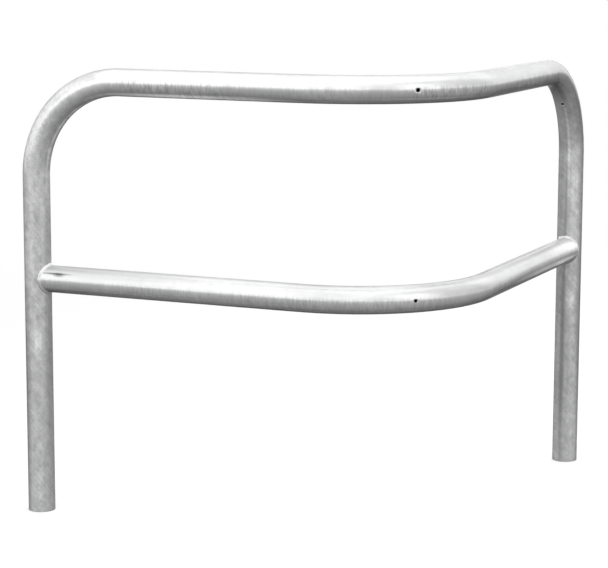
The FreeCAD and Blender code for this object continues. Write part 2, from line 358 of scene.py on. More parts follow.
def build_hoop_tube():
    """The outside from foot to foot, then the bore between the same two feet."""
    mesh = bmesh.new()
    layers = tube_layers(mesh)
    start_rings = foot_rings(mesh, layers, hoop_line[0], 1)
    end_rings = foot_rings(mesh, layers, hoop_line[-1], -1)
    outside = []
    for station in hoop_line[1:-1]:
        distance = station[0]
        outside.append(add_ring(
            mesh, layers, station,
            lambda a: TUBE_RADIUS - surface_dip(distance, a, hoop_marks, HOOP_SEED),
            lambda a: distance,
        ))
    bore = [
        add_ring(mesh, layers, station, lambda a: BORE_RADIUS, lambda a: station[0])
        for station in hoop_line[BORE_SKIP:-BORE_SKIP:BORE_SKIP]
    ]
    join_rings(mesh, start_rings + outside + end_rings[::-1])
    join_rings(mesh, [start_rings[0]] + bore + [end_rings[0]])
    return new_piece("hoop_tube_zinc", mesh)


hoop_tube = build_hoop_tube()
print("hoop tube:", len(hoop_tube.data.polygons), "faces")

# %% [markdown]
# Crossbar
#
# The fitter notches (copes) each end of the crossbar, so that it seats on the round post like a
# saddle. A Boolean with the post would cut that too, but would leave thin faces along the cut. In
# a mesh of rings it is one line of geometry: a point of the end ring that lies off to the side by
# `y` has to stop `sqrt(r² - y²)` from the post's axis. At the bar's flanks that would end in a
# knife edge, which the fitter grinds off, and the weld fills the gap. The flanks therefore stop
# at `TIP_SHARE` of the radius. The next rings ease back to plain, flat rings.

# %% Notched ends
ROOT_GAP = 0.3 * MM
NOTCH_RADIUS = TUBE_RADIUS + ROOT_GAP
NOTCH_EASE = 70 * MM
TIP_SHARE = 0.62


def saddle(angle, radius):
    """How far from the post's axis the notched end stops, for a point at this angle of the bar."""
    aside = radius * math.cos(angle)
    return math.sqrt(NOTCH_RADIUS ** 2 - (1 - TIP_SHARE ** 2) * aside ** 2)


def eased(distance, angle, radius):
    """Distance along the bar of a ring's vertex, with both ends pressed back to their saddles."""
    from_end = min(distance, CROSSBAR_LENGTH - distance)
    if from_end >= NOTCH_EASE:
        return distance
    stop = saddle(angle, radius)
    pressed = stop + from_end * (NOTCH_EASE - stop) / NOTCH_EASE
    return pressed if distance < CROSSBAR_LENGTH / 2 else CROSSBAR_LENGTH - pressed


print("the notch stops", round(saddle(0, TUBE_RADIUS) / MM, 1), "mm from the post's axis at the flanks and",
      round(saddle(QUARTER, TUBE_RADIUS) / MM, 1), "mm on top")

# %% Crossbar
CROSSBAR_SEED = 7.0


def crossbar_skin(mesh, layers, stations, radius, coated):
    """The rings of one skin. Only the coated outside has dips."""
    rings = []
    for station in stations:
        distance = station[0]

        def radius_at(angle):
            if not coated:
                return radius
            return radius - surface_dip(distance, angle, crossbar_marks, CROSSBAR_SEED)

        rings.append(add_ring(mesh, layers, station, radius_at, lambda a: eased(distance, a, radius)))
    return rings


def build_crossbar():
    """Outside and bore, joined by the wall's face at each notched end."""
    mesh = bmesh.new()
    layers = tube_layers(mesh)
    outside = crossbar_skin(mesh, layers, crossbar_line, TUBE_RADIUS, True)
    bore_line = [crossbar_line[0]] + crossbar_line[BORE_SKIP:-BORE_SKIP:BORE_SKIP] + [crossbar_line[-1]]
    bore = crossbar_skin(mesh, layers, bore_line, BORE_RADIUS, False)
    for rings in (outside, bore, [outside[0], bore[0]], [outside[-1], bore[-1]]):
        join_rings(mesh, rings)
    return new_piece("crossbar_zinc", mesh)


crossbar = build_crossbar()
print("crossbar:", len(crossbar.data.polygons), "faces")

# %% [markdown]
# Vent holes
#
# A closed tube would burst in the zinc bath, so the fabricator drills small holes where air has
# to leave and zinc has to drain: one outside each corner bend and one inside each end bend. The
# zinc rounds their rims. A dark disc would do from far off, but the rim catches the light from
# near by. The cutter is therefore shaped like a trumpet: a straight drill below and a flared
# mouth at the surface. A Boolean modifier cuts it through one wall, and is applied at once, so
# that the final mesh holds the hole.

# %% Vent cutter
VENT_AROUND = 40
FLARE = 1.1 * MM
FLARE_STEPS = 6
DRILL_DEPTH = 2.2 * WALL
MOUTH_SPREAD = 1.6 * FLARE
MOUTH_RISE = 2 * MM


def trumpet_profile(hole_radius):
    """Radius and height of each ring of the cutter, from the drill's tip to above the surface."""
    profile = [(hole_radius, -DRILL_DEPTH), (hole_radius, -FLARE)]
    for step in range(1, FLARE_STEPS + 1):
        turn = QUARTER * step / FLARE_STEPS
        profile.append((hole_radius + FLARE * (1 - math.cos(turn)), -FLARE * (1 - math.sin(turn))))
    profile.append((hole_radius + MOUTH_SPREAD, MOUTH_RISE))
    return profile


def trumpet(name, mouth, outwards, hole_radius):
    """A cutter whose axis is the hole's and whose flare opens at the tube's surface."""
    turn_out = outwards.to_track_quat("Z", "Y").to_matrix()
    mesh = bmesh.new()
    rings = []
    for radius, height in trumpet_profile(hole_radius):
        rings.append([
            mesh.verts.new(mouth + turn_out @ Vector((
                radius * math.cos(2 * math.pi * index / VENT_AROUND),
                radius * math.sin(2 * math.pi * index / VENT_AROUND),
                height,
            )))
            for index in range(VENT_AROUND)
        ])
    join_rings(mesh, rings, smooth=False)
    mesh.faces.new(rings[0][::-1])
    mesh.faces.new(rings[-1])
    return new_piece(name, mesh)


def drill(piece, cutter):
    """Cut the cutter out of the piece and keep the result as the piece's own mesh."""
    cut = piece.modifiers.new("vent", "BOOLEAN")
    cut.operation = "DIFFERENCE"
    cut.solver = "EXACT"
    cut.object = cutter
    drilled = bpy.data.meshes.new_from_object(piece.evaluated_get(bpy.context.evaluated_depsgraph_get()))
    piece.modifiers.clear()
    undrilled, piece.data = piece.data, drilled
    bpy.data.meshes.remove(undrilled)
    bpy.data.objects.remove(cutter)


# %% Drill the vent holes
RAIL_VENT_RADIUS = 4.5 * MM
SMALL_VENT_RADIUS = 4.0 * MM
DIAGONAL = math.sqrt(0.5)
corner_centre = Vector((HALF_LEG - CORNER_BEND, -HALF_LEG + CORNER_BEND, 0))
corner_out = Vector((DIAGONAL, -DIAGONAL, 0))
corner_surface = corner_out * (CORNER_BEND + TUBE_RADIUS)
left_bend_centre = LEFT_POST + Vector((END_BEND, 0, RAIL_HEIGHT - END_BEND))
left_bend_surface = Vector((-DIAGONAL, 0, DIAGONAL)) * (END_BEND - TUBE_RADIUS)
right_bend_centre = RIGHT_POST + Vector((0, -END_BEND, RAIL_HEIGHT - END_BEND))
right_bend_surface = Vector((0, DIAGONAL, DIAGONAL)) * (END_BEND - TUBE_RADIUS)
vents = [
    (hoop_tube, corner_centre + UP * RAIL_HEIGHT + corner_surface, corner_out, RAIL_VENT_RADIUS),
    (crossbar, corner_centre + UP * CROSSBAR_HEIGHT + corner_surface, corner_out, SMALL_VENT_RADIUS),
    (hoop_tube, left_bend_centre + left_bend_surface, Vector((DIAGONAL, 0, -DIAGONAL)), SMALL_VENT_RADIUS),
    (hoop_tube, right_bend_centre + right_bend_surface, Vector((0, -DIAGONAL, -DIAGONAL)),
     SMALL_VENT_RADIUS),
]
for number, (piece, mouth, outwards, hole_radius) in enumerate(vents):
    drill(piece, trumpet(f"vent_cutter_{number}", mouth, outwards, hole_radius))
print("drilled", len(vents), "vents; hoop tube now has", len(hoop_tube.data.polygons), "faces")

# %% [markdown]
# The seam that a weld follows
#
# Two equal tubes that meet at a right angle touch along a saddle line. Seen from the side it is a
# V that points at the post. The welder runs a bead round it, so the bead's centre line is that
# saddle, written with one angle that goes once round the bar. At each point the bead has a toe on
# the post, a toe on the bar and a crown between them. On top of the bar the two surfaces stand
# square to each other and the bead is a fillet; at the bar's flanks it fills the ground-off tips.
# A torus laid round the joint would be easier, but it would miss the V and float off the post.

# %% Seam of a joint
TURN_STEP = 0.001


def seam_point(turn):
    """The saddle line about the joint: post on Z, bar along +X. The V's tips are ground off."""
    reach = math.sqrt(math.cos(turn) ** 2 + (TIP_SHARE * math.sin(turn)) ** 2)
    return Vector((TUBE_RADIUS * reach, TUBE_RADIUS * math.sin(turn), TUBE_RADIUS * math.cos(turn)))


def seam_frame(turn):
    """A point of the seam, then out of it, over the post, over the bar, and how flat it opens."""
    point = seam_point(turn)
    along = (seam_point(turn + TURN_STEP) - seam_point(turn - TURN_STEP)).normalized()
    from_post = Vector((point.x, point.y, 0)).normalized()
    from_bar = Vector((0, point.y, point.z)).normalized()
    over_post = from_post.cross(along)
    if over_post.dot(from_bar) < 0:
        over_post = -over_post
    over_bar = from_bar.cross(along)
    if over_bar.x < 0:
        over_bar = -over_bar
    outwards = (from_post + from_bar).normalized()
    flatness = max(0.0, from_post.dot(from_bar)) ** 2
    return point, outwards, over_post, over_bar, flatness


def on_post(point, radius):
    """The point moved straight out or in until it lies this far from the post's axis."""
    flat = Vector((point.x, point.y, 0)).normalized() * radius
    return Vector((flat.x, flat.y, point.z))


def on_bar(point, radius):
    """The same for the bar's axis."""
    flat = Vector((0, point.y, point.z)).normalized() * radius
    return Vector((point.x, flat.y, flat.z))


print("the seam lies", round(seam_point(QUARTER).x / MM, 1), "mm from the post's axis at the flanks and",
      round(seam_point(0).x / MM, 1), "mm on top")

# %% [markdown]
# Weld beads
#
# The welder went round twice, so the crown has two lobes with a groove between them. A weld is
# laid in small steps, each of which freezes as a ripple. Ripples could be a bump too, but they
# show in the bead's outline. So the ripples, the uneven width and the lumps where the welder
# stopped are in the mesh, softened, because zinc has filled them. The toes and the root lie under
# the tubes' surfaces, so that no gap shows between bead and tube.

# %% Section of a bead
BEAD_LEG = 4.3 * MM
BEAD_CROWN_POINTS = 17
BEAD_ROOT = 2.2 * MM
ROOT_SHARE = 0.6
FILLET_CROWN = 0.5 * MM
RIDGE_CROWN = 2.0 * MM
LOBE_FULLNESS = 0.7
GROOVE_SHARE = 0.5
GROOVE_WIDTH = 0.13
TOE_SINK = 0.5 * MM
BEAD_UNEVEN = 0.13
UNEVEN_PER_METRE = 90
RIPPLE_PITCH = 3.4 * MM
RIPPLE_HEIGHT = 0.3 * MM
RIPPLE_WANDER = 1.5
WANDER_PER_METRE = 60
UNEVEN_SLICE = 0
WANDER_SLICE = 3
LUMP_SPREAD = 0.11
LUMP_AT_TOE = 0.6


def crown_shape(share):
    """Height of the bead's two lobes from toe (0) to toe (1), at most 1."""
    groove = math.exp(-((share - 0.5) / GROOVE_WIDTH) ** 2)
    return math.sin(math.pi * share) ** LOBE_FULLNESS * (1 - GROOVE_SHARE * groove)


def bead_ring(turn, run, seed, lumps):
    """One section: crown points from the post's toe to the bar's toe, then back by the root."""
    point, outwards, over_post, over_bar, flatness = seam_frame(turn)
    uneven = 1 + BEAD_UNEVEN * noise.noise(Vector((run * UNEVEN_PER_METRE, seed, UNEVEN_SLICE)))
    wander = RIPPLE_WANDER * noise.noise(Vector((run * WANDER_PER_METRE, seed, WANDER_SLICE)))
    ripple = RIPPLE_HEIGHT * math.sin(2 * math.pi * run / RIPPLE_PITCH + wander)
    lump = sum(height * math.exp(-((turn - at) / LUMP_SPREAD) ** 2) for at, height in lumps)
    leg = BEAD_LEG * uneven + ripple + lump * LUMP_AT_TOE
    crown = (FILLET_CROWN + (RIDGE_CROWN - FILLET_CROWN) * flatness) * uneven
    toe_post = on_post(point + over_post * leg, TUBE_RADIUS - TOE_SINK)
    toe_bar = on_bar(point + over_bar * leg, TUBE_RADIUS - TOE_SINK)
    ring = []
    for index in range(BEAD_CROWN_POINTS):
        share = index / (BEAD_CROWN_POINTS - 1)
        bulge = (crown + TOE_SINK + ripple) * crown_shape(share)
        bulge += lump * math.sin(math.pi * share)
        ring.append(toe_post.lerp(toe_bar, share) + outwards * bulge)
    root = point - outwards * BEAD_ROOT
    return ring + [toe_bar.lerp(root, ROOT_SHARE), root, toe_post.lerp(root, ROOT_SHARE)]


print("a bead's section has", len(bead_ring(0, 0, 0, [])), "points")

# %% Weld beads
BEAD_STATIONS = 288
LEFT_LUMP = (math.radians(268), 1.0 * MM)
RIGHT_LUMP = (math.radians(330), 2.2 * MM)
LEFT_WELD_SEED = 1.0
RIGHT_WELD_SEED = 5.0


def build_weld(name, joint, bar_direction, seed, lumps):
    """A bead round the bar. lumps gives (turn, height) for each place where the arc was stopped."""
    mesh = bmesh.new()
    underside = mesh.verts.layers.float.new("underside")
    place = Matrix((bar_direction, UP.cross(bar_direction), UP)).transposed()
    rings, run = [], 0.0
    previous = seam_point(0)
    for station in range(BEAD_STATIONS):
        turn = 2 * math.pi * station / BEAD_STATIONS
        run += (seam_point(turn) - previous).length
        previous = seam_point(turn)
        ring = [mesh.verts.new(joint + place @ spot) for spot in bead_ring(turn, run, seed, lumps)]
        for vertex in ring:
            vertex[underside] = -math.cos(turn)
        rings.append(ring)
    join_rings(mesh, rings + rings[:1])
    return new_piece(name, mesh)


left_weld = build_weld("left_weld_bead", left_joint, ALONG_X, LEFT_WELD_SEED, [LEFT_LUMP])
right_weld = build_weld("right_weld_bead", right_joint, -ALONG_Y, RIGHT_WELD_SEED, [RIGHT_LUMP])
print("welds:", len(left_weld.data.polygons), "and", len(right_weld.data.polygons), "faces")

# %% [markdown]
# Hot-dip zinc
#
# Fresh zinc is a bright, half-matt grey. Up close it is never even. The posts hung upright as
# they drained: they have cloudy patches a finger wide, slanting wipes and long pale runs. The
# rails have fine cross streaks where the zinc froze in waves; the ripples are in the relief, and
# the light and dark of their reflections is painted into the colour. Thin light and dark lines
# along the underside are painted reflections. Noise read from the object's own coordinates would
# cut straight through the bends. Here each of those is a noise of its own scale, read from the
# `straight` attribute so that it keeps to the tube. The small helpers below each add a node or a
# few, so that the material itself reads like a recipe.

# %% Helpers for the zinc material
def new_material(name):
    """A material with its node tree and its Principled shader."""
    material = bpy.data.materials.new(name)
    material.use_nodes = True
    return material, material.node_tree, material.node_tree.nodes["Principled BSDF"]


def feed(tree, value, socket):
    """Connect an output to a socket, or write a plain number on it."""
    if isinstance(value, (int, float)):
        socket.default_value = value
    else:
        tree.links.new(value, socket)


def math_node(tree, operation, first, second):
    """The result of a Math node."""
    node = tree.nodes.new("ShaderNodeMath")
    node.operation = operation
    feed(tree, first, node.inputs[0])
    feed(tree, second, node.inputs[1])
    return node.outputs[0]


def times(tree, first, second):
    return math_node(tree, "MULTIPLY", first, second)


def plus(tree, first, second):
    return math_node(tree, "ADD", first, second)


def ranged(tree, value, low, high, to_low=0.0, to_high=1.0):
    """The value's span from low to high, stretched to another span and clamped."""
    node = tree.nodes.new("ShaderNodeMapRange")
    node.inputs["From Min"].default_value = low
    node.inputs["From Max"].default_value = high
    node.inputs["To Min"].default_value = to_low
    node.inputs["To Max"].default_value = to_high
    tree.links.new(value, node.inputs["Value"])
    return node.outputs["Result"]


def attribute(tree, name, output):
    """One of the attributes that the mesh carries."""
    node = tree.nodes.new("ShaderNodeAttribute")
    node.attribute_name = name
    return node.outputs[output]


# %% Helpers for coordinates and patterns
def scaled(tree, coordinates, stretch, offset):
    """Coordinates multiplied by a stretch, then moved by an offset."""
    node = tree.nodes.new("ShaderNodeVectorMath")
    node.operation = "MULTIPLY_ADD"
    tree.links.new(coordinates, node.inputs[0])
    node.inputs[1].default_value = stretch
    node.inputs[2].default_value = offset
    return node.outputs[0]


def length_of(tree, vector):
    """The length of a vector, such as the distance of a point from the origin."""
    node = tree.nodes.new("ShaderNodeVectorMath")
    node.operation = "LENGTH"
    tree.links.new(vector, node.inputs[0])
    return node.outputs["Value"]


def slanted(tree, coordinates):
    """The straight tube's coordinates sheared, so that a pattern climbs round it like a thread."""
    parts = tree.nodes.new("ShaderNodeSeparateXYZ")
    tree.links.new(coordinates, parts.inputs[0])
    along, side, up = parts.outputs
    joined = tree.nodes.new("ShaderNodeCombineXYZ")
    climb = math_node(tree, "SUBTRACT", plus(tree, along, side), up)
    for value, socket in zip((climb, side, up), joined.inputs):
        tree.links.new(value, socket)
    return joined.outputs[0]


def stretched_noise(tree, coordinates, stretch, detail=3.0, roughness=0.55, offset=(0.0, 0.0, 0.0)):
    """Noise whose features are 1 / stretch metres long in each direction of the straight tube."""
    pattern = tree.nodes.new("ShaderNodeTexNoise")
    pattern.inputs["Scale"].default_value = 1.0
    pattern.inputs["Detail"].default_value = detail
    pattern.inputs["Roughness"].default_value = roughness
    tree.links.new(scaled(tree, coordinates, stretch, offset), pattern.inputs["Vector"])
    return pattern.outputs["Fac"]


# %% Helpers for brightness and relief
NOISE_SPAN = (0.3, 0.7)


def painted_light_and_shade_by_facing(tree, facing, tones):
    """Painted light and shade: a brightness for each way that the surface faces, from -1 (up) to 1 (down).
    """
    ramp = tree.nodes.new("ShaderNodeValToRGB")
    tree.links.new(ranged(tree, facing, -1.0, 1.0), ramp.inputs["Fac"])
    stops = ramp.color_ramp.elements
    while len(stops) < len(tones):
        stops.new(0.5)
    for stop, (way, tone) in zip(stops, tones):
        stop.position = (way + 1) / 2
        stop.color = (tone, tone, tone, 1)
    return ramp.outputs["Color"]


def swung(tree, brightness, pattern, amount):
    """The brightness swung up and down by a pattern about 0.5; amount may be a number or a mask."""
    swing = times(tree, ranged(tree, pattern, *NOISE_SPAN, -1.0, 1.0), amount)
    return times(tree, brightness, plus(tree, swing, 1.0))


def tinted(tree, brightness, grey):
    """A grey whose brightness is driven by a pattern."""
    colour = tree.nodes.new("ShaderNodeVectorMath")
    colour.operation = "SCALE"
    colour.inputs[0].default_value = grey
    tree.links.new(brightness, colour.inputs["Scale"])
    return colour.outputs[0]


def add_relief(tree, shader, height, strength, depth):
    """Relief too fine for the mesh, as a Bump node on the shader's normal."""
    bump = tree.nodes.new("ShaderNodeBump")
    bump.inputs["Strength"].default_value = strength
    bump.inputs["Distance"].default_value = depth
    tree.links.new(height, bump.inputs["Height"])
    tree.links.new(bump.outputs[0], shader.inputs["Normal"])


# %% [markdown]
# Patterns of the zinc, and where each one shows
#
# Each pattern is stretched the way that the zinc ran. The three numbers of a stretch are features
# per metre, first along the tube and then across it, so runs have a small first number and cross
# streaks a large one. An offset takes a pattern from another part of the noise, so that two of
# them don't line up. Masks then say where a pattern belongs: waves only on the sides of a level
# tube, about the lower border of the top's highlight, and the painted reflection lines only below
# it. One noise for everything would be less work, but then every side of the hoop would look
# alike.

# %% Patterns and masks
SIDE_BEGINS = (-0.35, -0.05)
SIDE_ENDS = (0.95, 0.6)
UNDERSIDE_BEGINS = (0.35, 0.6)
LEVEL_TUBE = (0.7, 1.0)
WAVE_PATCH_SPAN = (0.4, 0.55)
WAVE_PATCH_SHARE = (0.25, 1.0)


def zinc_patterns(tree, place):
    """The noises of the zinc, by name."""
    return {
        "clouds": stretched_noise(tree, place, (7, 14, 14), detail=2.0),
        "mottle": stretched_noise(tree, place, (52, 60, 60), detail=5.0, roughness=0.76),
        "wipes": stretched_noise(tree, slanted(tree, place), (170, 24, 24), offset=(0, 3, 9)),
        "runs": stretched_noise(tree, place, (5, 120, 120), offset=(4, 0, 0)),
        # Cross streaks: the ripples are in the relief, and their swing of colour is a painted reflection.
        "waves": stretched_noise(tree, place, (230, 55, 55), detail=2.0, roughness=0.6),
        "wave patches": stretched_noise(tree, place, (5, 9, 9), offset=(2, 8, 1)),
        # Thin lines along the tube, laid on its underside as painted reflections.
        "painted reflection lines": stretched_noise(tree, place, (2.5, 420, 420), detail=1.0, offset=(7, 2, 0)),
        "grain": stretched_noise(tree, place, (900, 900, 900), detail=2.0),
    }


def zinc_masks(tree, patterns):
    """Where on the tube a pattern may show, from 0 (not at all) to 1."""
    facing_down = attribute(tree, "underside", "Fac")
    lying = attribute(tree, "lying", "Fac")
    on_side = times(tree, ranged(tree, facing_down, *SIDE_BEGINS), ranged(tree, facing_down, *SIDE_ENDS))
    in_patches = ranged(tree, patterns["wave patches"], *WAVE_PATCH_SPAN, *WAVE_PATCH_SHARE)
    return {
        "facing down": facing_down,
        "standing": math_node(tree, "SUBTRACT", 1.0, lying),
        # Where the cross streaks show: the sides of a level tube, about the lower border of the top's
        # highlight.
        "waved": times(tree, times(tree, on_side, in_patches), ranged(tree, lying, *LEVEL_TUBE)),
        "below": times(tree, ranged(tree, facing_down, *UNDERSIDE_BEGINS), lying),
    }


# %% [markdown]
# Marks that are laid one by one
#
# Some marks can't be left to chance: a dark line beside the left weld, a light line under the rail,
# the dark bands that run down the posts. Many of them are painted light and shade: the light lines
# under the tubes are painted reflections, the dark bands down the posts are painted shade and
# painted reflections, and the whiter end of the crossbar is a painted highlight. They could be
# painted on an image, but a few soft spots need none. Each is a place on the straight tube
# (distance from the tube's start in metres, angle round it in degrees), its length and width in
# metres, and how much brighter or darker it is. A spot's edge is torn by the mottle, so that it
# looks grown and not sprayed.

# %% Soft spots
SPOT_CORE = 0.25
TORN_SPAN = (0.35, 0.6)
TORN_SHARE = (0.75, 1.0)
HOOP_MARKS_AND_PAINTED_LIGHT = [
    # Left post: the long dark bands down both of its edges are painted shade
    (0.390, 205, 0.060, 0.030, 0.30),
    (0.055, 200, 0.120, 0.014, 0.16),
    (0.250, 268, 0.950, 0.056, -0.34),
    (0.250, 130, 0.900, 0.044, -0.42),
    (0.640, 165, 0.320, 0.050, 0.20),
    (0.660, 277, 0.260, 0.034, -0.14),
    # Left end bend
    (0.930, 162, 0.460, 0.070, 0.36),
    (0.930, 260, 0.400, 0.014, 1.00),
    # Light line under the left leg of the rail: a painted reflection
    (1.260, 236, 0.560, 0.020, 2.30),
    # Right end bend
    (2.590, 312, 0.220, 0.050, 0.30),
    (2.620, 188, 0.340, 0.044, -0.38),
    (2.700, 264, 0.360, 0.010, 0.60),
    # Right post: the long dark bands are painted shade down its sides, the thin dark lines painted
    # reflections
    (2.830, 227, 0.120, 0.030, 0.10),
    (3.106, 239, 0.070, 0.026, 0.28),
    (2.850, 290, 0.700, 0.050, -0.24),
    (2.880, 272, 0.500, 0.011, -0.26),
    (3.240, 284, 0.900, 0.055, -0.22),
    (3.250, 277, 0.800, 0.018, -0.44),
    (3.080, 176, 1.100, 0.044, -0.46),
    (3.040, 266, 0.050, 0.007, 0.26),
]
CROSSBAR_MARKS_AND_PAINTED_LIGHT = [
    # Dark line beside the left weld, and the darker top next to it: a painted shade over the highlight
    (0.060, 147, 0.100, 0.0065, -0.72),
    (0.068, 151, 0.036, 0.014, -0.62),
    (0.170, 116, 0.440, 0.060, -0.20),
    # Right leg: the light lines along its lower side are painted reflections, the whiter end at the post a
    # painted highlight
    (1.450, 170, 0.560, 0.013, -0.20),
    (1.500, 203, 0.560, 0.020, 1.40),
    (1.640, 122, 0.360, 0.090, 0.20),
    (1.700, 148, 0.160, 0.080, 0.26),
    (1.640, 205, 0.240, 0.018, 0.90),
]


def soft_spot(tree, coordinates, distance, angle, length, width):
    """1 at a place on the straight tube, fading to 0 at half its length and half its width."""
    turn = math.radians(angle)
    middle = (distance, TUBE_RADIUS * math.cos(turn), TUBE_RADIUS * math.sin(turn))
    stretch = (2 / length, 2 / width, 2 / width)
    offset = tuple(-place * factor for place, factor in zip(middle, stretch))
    return ranged(tree, length_of(tree, scaled(tree, coordinates, stretch, offset)), 1.0, SPOT_CORE)


print(len(HOOP_MARKS_AND_PAINTED_LIGHT), "marks on the hoop tube and", len(CROSSBAR_MARKS_AND_PAINTED_LIGHT), "on the crossbar")

# %% [markdown]
# Zinc on the tubes
#
# The colour starts from a painted light and shade: a tone for each way that the surface faces,
# pale on top and grey below. These lamps alone would leave the undersides paler than the
# photograph has them, so part of that shade is painted into the colour. The patterns swing the
# tone up and down, and the marks come last. A fully metallic shader would mirror the lamps too
# sharply, so it is only partly metal, with little gloss.
#
# A roughness that changes from spot to spot keeps the highlights alive. On the tubes it stays
# above 0.28 and on the welds below 0.27. A roughness that crossed about 0.274 left dark specks in
# the denoised highlights, so each finish keeps to its own side of that value.

# %% Zinc on the tubes
ZINC_GREY = (0.742, 0.744, 0.746)
METAL_SHARE = 0.37
EDGE_TINT = (0.0, 0.0, 0.0, 1)
DULL_GLOSS = 0.03
# Painted light and shade: the colour is paler where the surface faces up and darker where it faces down.
PAINTED_LIGHT_AND_SHADE_BY_FACING = [
    (-1.0, 0.95), (-0.1, 0.99), (0.0, 0.72), (0.13, 0.6), (0.45, 0.46), (0.8, 0.36), (1.0, 0.34),
]
CLOUD_SWING = 0.06
MOTTLE_SWING = (0.05, 0.25)
WIPE_SWING = 0.09
RUN_SWING = (0.04, 0.08)
# How strong the painted reflection lines along the underside are.
PAINTED_REFLECTION_LINE_SWING = 0.22
GRAIN_SWING = 0.015


def zinc_colour(tree, place, patterns, masks, marks, streaks):
    """The painted light and shade by facing, swung by every pattern where its mask lets it, then the marks,
    which are partly painted light and shade too.
    """
    standing = masks["standing"]
    # Painted light and shade by facing.
    brightness = painted_light_and_shade_by_facing(tree, masks["facing down"], PAINTED_LIGHT_AND_SHADE_BY_FACING)
    for pattern, amount in (
        ("clouds", CLOUD_SWING),
        ("mottle", ranged(tree, standing, 0.0, 1.0, *MOTTLE_SWING)),
        ("wipes", times(tree, standing, WIPE_SWING)),
        ("runs", ranged(tree, standing, 0.0, 1.0, *RUN_SWING)),
        # The waves and the painted reflection lines paint reflections into the colour.
        ("waves", times(tree, masks["waved"], streaks)),
        ("painted reflection lines", times(tree, masks["below"], PAINTED_REFLECTION_LINE_SWING)),
        ("grain", GRAIN_SWING),
    ):
        brightness = swung(tree, brightness, patterns[pattern], amount)
    torn = ranged(tree, patterns["mottle"], *TORN_SPAN, *TORN_SHARE)
    # Marks last: several of them are painted shade, painted highlights and painted reflections.
    for *spot, change in marks:
        ragged = times(tree, soft_spot(tree, place, *spot), torn)
        brightness = times(tree, brightness, plus(tree, times(tree, ragged, change), 1.0))
    return tinted(tree, brightness, ZINC_GREY)


# %% Relief and roughness of the tubes
MOTTLE_RELIEF = 0.35
RUN_RELIEF = 0.5
WIPE_RELIEF = 0.12
WAVE_RELIEF = 0.35
GRAIN_RELIEF = 0.05
TUBE_BUMP = 0.34
TUBE_RELIEF_DEPTH = 0.4 * MM
MOTTLE_ROUGHNESS = (0.30, 0.37)
CLOUD_ROUGHNESS = (-0.015, 0.03)


def zinc_height(tree, patterns, masks):
    """The coat's fine relief, as a sum of the patterns that can be felt."""
    height = times(tree, patterns["mottle"], MOTTLE_RELIEF)
    for relief in (
        times(tree, patterns["runs"], RUN_RELIEF),
        times(tree, times(tree, patterns["wipes"], masks["standing"]), WIPE_RELIEF),
        times(tree, times(tree, patterns["waves"], masks["waved"]), WAVE_RELIEF),
        times(tree, patterns["grain"], GRAIN_RELIEF),
    ):
        height = plus(tree, height, relief)
    return height


def zinc_on_tube(name, marks, streaks):
    """Zinc for one tube. streaks says how strong the painted reflections of its cross streaks are."""
    material, tree, shader = new_material(name)
    place = attribute(tree, "straight", "Vector")
    patterns = zinc_patterns(tree, place)
    masks = zinc_masks(tree, patterns)
    colour = zinc_colour(tree, place, patterns, masks, marks, streaks)
    tree.links.new(colour, shader.inputs["Base Color"])
    roughness = plus(
        tree,
        ranged(tree, patterns["mottle"], *NOISE_SPAN, *MOTTLE_ROUGHNESS),
        ranged(tree, patterns["clouds"], *NOISE_SPAN, *CLOUD_ROUGHNESS),
    )
    tree.links.new(roughness, shader.inputs["Roughness"])
    shader.inputs["Metallic"].default_value = METAL_SHARE
    shader.inputs["Specular IOR Level"].default_value = DULL_GLOSS
    shader.inputs["Specular Tint"].default_value = EDGE_TINT
    add_relief(tree, shader, zinc_height(tree, patterns, masks), TUBE_BUMP, TUBE_RELIEF_DEPTH)
    return material


hoop_zinc = zinc_on_tube("galvanised hoop zinc", HOOP_MARKS_AND_PAINTED_LIGHT, streaks=0.27)
crossbar_zinc = zinc_on_tube("galvanised crossbar zinc", CROSSBAR_MARKS_AND_PAINTED_LIGHT, streaks=0.15)
for piece, zinc in ((hoop_tube, hoop_zinc), (crossbar, crossbar_zinc)):
    piece.data.materials.clear()
    piece.data.materials.append(zinc)
    print(zinc.name, "has", len(zinc.node_tree.nodes), "nodes")

# %% [markdown]
# Zinc on the welds
#
# The zinc on the weld beads is smoother and brighter than on the tubes beside them, and part of
# that brightness is a painted highlight. The beads could share the tube's material, but they have
# no straight tube to read it from, and its runs and clouds would be too coarse for a ring this
# small. So they get a simple one of their own: the same partly metal shader with fine lumps and
# grain, read from the object's coordinates, over a painted light and shade, pale on top and
# darker below.

# %% Zinc on the welds
# The weld grey and its tones are set brighter than the tube's, partly as a painted highlight on the bead;
# the tones paint light and shade by facing.
WELD_GREY = (0.77, 0.77, 0.77)
WELD_PAINTED_LIGHT_AND_SHADE = [(-1.0, 0.92), (-0.1, 1.0), (0.15, 0.7), (1.0, 0.5)]
LUMPS_PER_METRE = 240
WELD_GRAIN_PER_METRE = 1100
LUMP_SWING = 0.1
WELD_GRAIN_SWING = 0.03
WELD_ROUGHNESS = (0.19, 0.26)
WELD_BUMP = 0.5
WELD_RELIEF_DEPTH = 0.3 * MM


